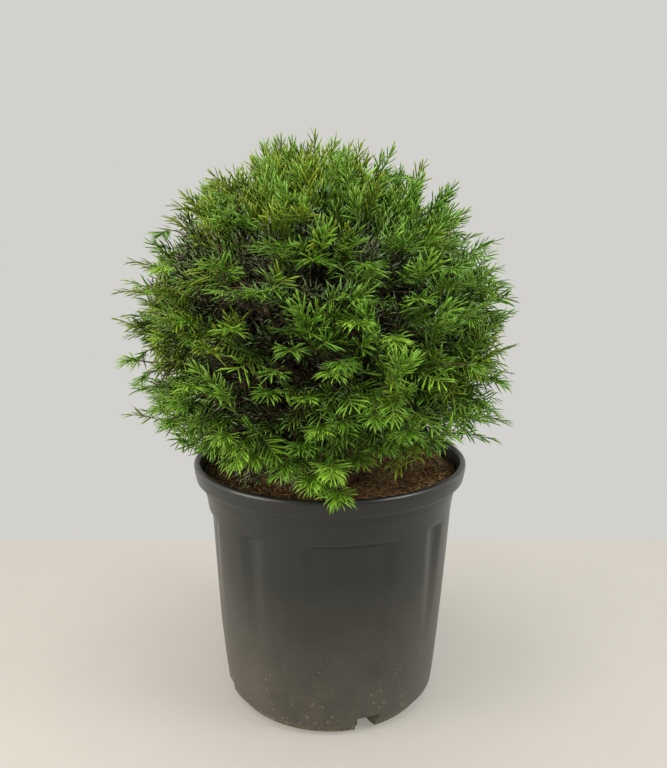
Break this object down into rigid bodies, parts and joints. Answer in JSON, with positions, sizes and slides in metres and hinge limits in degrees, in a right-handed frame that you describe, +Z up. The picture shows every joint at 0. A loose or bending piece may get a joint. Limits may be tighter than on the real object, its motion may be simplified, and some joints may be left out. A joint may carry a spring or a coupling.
{
  "type": "english yew shrub in a nursery pot",
  "caption": "Young bushy English yew with dense needle sprays on a short trunk and boughs, growing in a round charcoal nursery pot with a rolled rim.",
  "frame": {"origin": "middle of the pot's flat underside", "axes": "+Z up along the pot's axis, -Y towards the front, +X to the right seen from the front"},
  "size_m": [0.4991, 0.4856, 0.6997],
  "materials": {
    "pot_plastic": "satin",
    "growing_medium": "matte",
    "bark": "matte",
    "needles": "matte"
  },
  "bodies": {
    "root": {"pot": "pot_plastic", "soil": "growing_medium", "trunk": "bark", "crown_top": "needles", "bough_shoulder_1": "bark", "crown_shoulder_1": "needles", "bough_shoulder_2": "bark", "crown_shoulder_2": "needles", "bough_shoulder_3": "bark", "crown_shoulder_3": "needles", "bough_shoulder_4": "bark", "crown_shoulder_4": "needles", "bough_shoulder_5": "bark", "crown_shoulder_5": "needles", "bough_side_1": "bark", "crown_side_1": "needles", "bough_side_2": "bark", "crown_side_2": "needles", "bough_side_3": "bark", "crown_side_3": "needles", "bough_side_4": "bark", "crown_side_4": "needles", "bough_side_5": "bark", "crown_side_5": "needles", "bough_side_6": "bark", "crown_side_6": "needles", "bough_skirt_1": "bark", "crown_skirt_1": "needles", "bough_skirt_2": "bark", "crown_skirt_2": "needles", "bough_skirt_3": "bark", "crown_skirt_3": "needles", "bough_skirt_4": "bark", "crown_skirt_4": "needles", "bough_skirt_5": "bark", "crown_skirt_5": "needles"}
  },
  "joints": []
}
